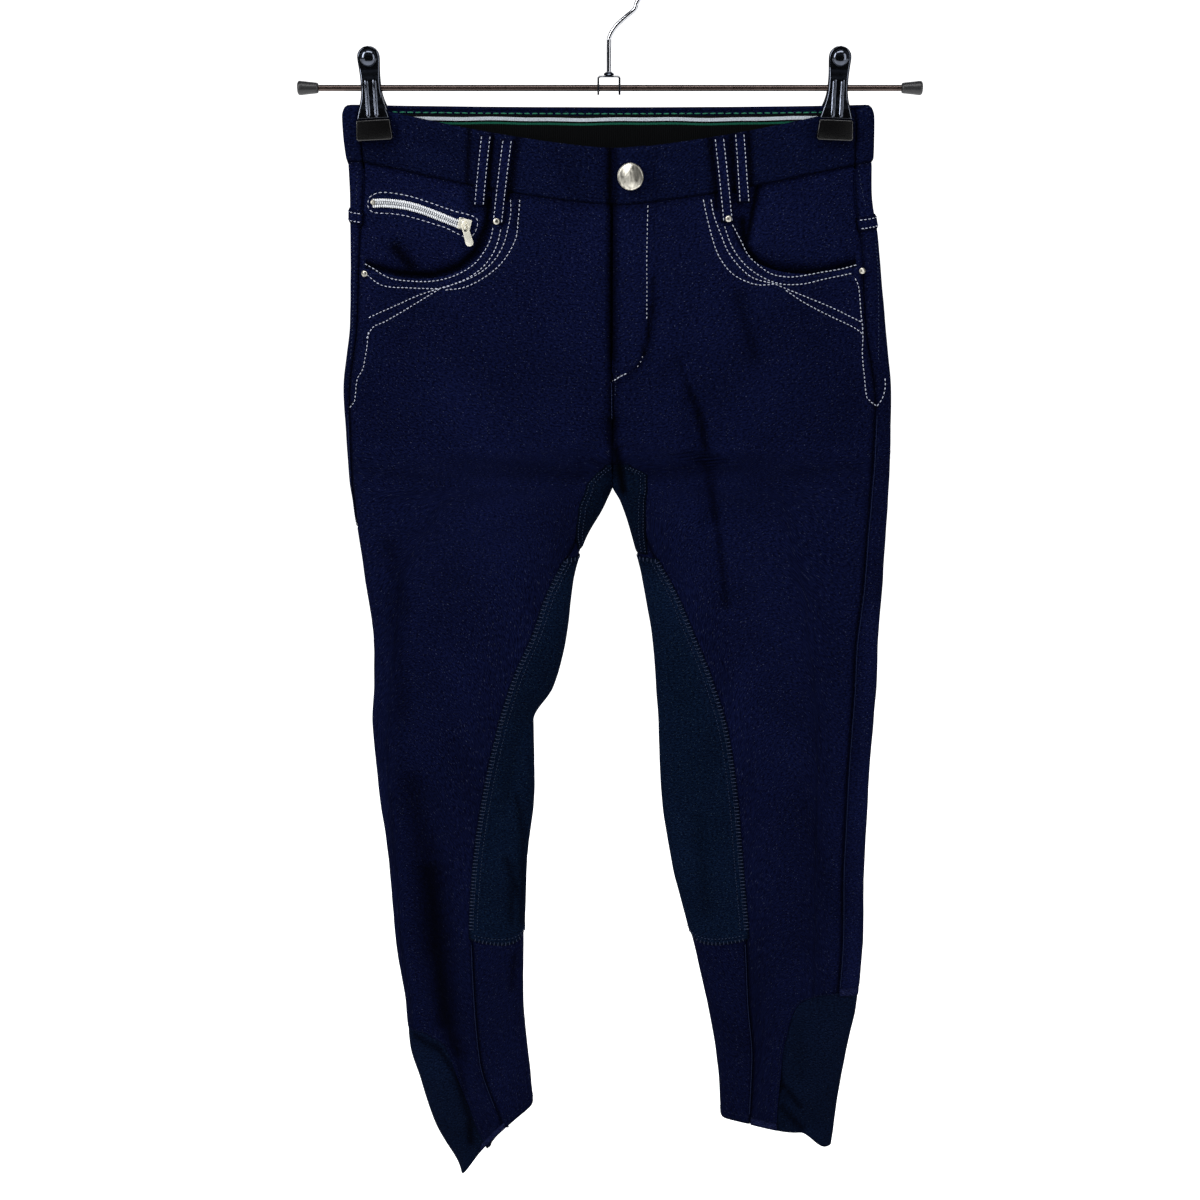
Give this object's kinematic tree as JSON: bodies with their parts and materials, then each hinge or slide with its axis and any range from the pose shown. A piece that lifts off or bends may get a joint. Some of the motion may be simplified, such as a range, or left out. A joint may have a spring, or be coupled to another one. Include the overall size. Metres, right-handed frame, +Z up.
{
  "type": "riding breeches on a clip hanger",
  "caption": "Child's navy riding breeches with slate knee patches and stretch ankle cuffs, hanging by the waistband from a steel clip hanger.",
  "frame": {"origin": "inside top of the hanger's hook, where a rail holds it", "axes": "+Z up, +X to the wearer's left, the front of the breeches faces -Y"},
  "size_m": [0.4, 0.0465, 0.924],
  "materials": {
    "cloth": "navy melange stretch cotton twill",
    "patch": "slate suede-like patch",
    "cuff": "slate stretch knit",
    "elastic": "black woven elastic",
    "tape": "navy zip tape with white coil teeth",
    "silver": "bright cast zinc",
    "chrome": "bright plated steel",
    "rubber": "glossy black soft plastic"
  },
  "bodies": {
    "breeches": {"front_right": "cloth", "front_left": "cloth", "back_right": "cloth", "back_left": "cloth", "cuff_right": "cuff", "cuff_left": "cuff", "pocket_panel_right": "cloth", "pocket_panel_left": "cloth", "knee_patch_right": "patch", "knee_patch_left": "patch", "thigh_patch_right": "patch", "thigh_patch_left": "patch", "side_tab_right": "cloth", "side_tab_left": "cloth", "hem_facing_right": "cloth", "hem_facing_left": "cloth", "waistband_front_left": "cloth", "waistband_front_right": "cloth", "waistband_back": "cloth", "waist_elastic": "elastic", "fly_shield": "cloth", "loop_front_right_outer": "cloth", "loop_front_right_inner": "cloth", "loop_front_left_inner": "cloth", "loop_front_left_outer": "cloth", "loop_back_right": "cloth", "loop_back_centre": "cloth", "loop_back_left": "cloth", "waist_button": "silver", "rivet_right_inner": "silver", "rivet_left_inner": "silver", "rivet_right_outer": "silver", "rivet_left_outer": "silver", "zip_tape": "tape", "zip_slider": "silver", "hook": "chrome", "rod": "chrome", "rod_cap_right": "rubber", "rod_cap_left": "rubber", "hanger_saddle": "chrome", "hook_bead": "chrome", "clip_right_jaw_front": "chrome", "clip_right_jaw_back": "chrome", "clip_right_pad_front": "rubber", "clip_right_pad_back": "rubber", "clip_right_rivet": "chrome", "clip_left_jaw_front": "chrome", "clip_left_jaw_back": "chrome", "clip_left_pad_front": "rubber", "clip_left_pad_back": "rubber", "clip_left_rivet": "chrome"},
    "zip_pull": {"zip_pull": "silver"}
  },
  "joints": [
    {"name": "pull_hinge", "type": "hinge", "parent": "breeches", "child": "zip_pull", "pos_m": [-0.0931, -0.01962, -0.17028], "axis": [-0.9659, 0, -0.2588], "range_deg": [0, 110]}
  ]
}
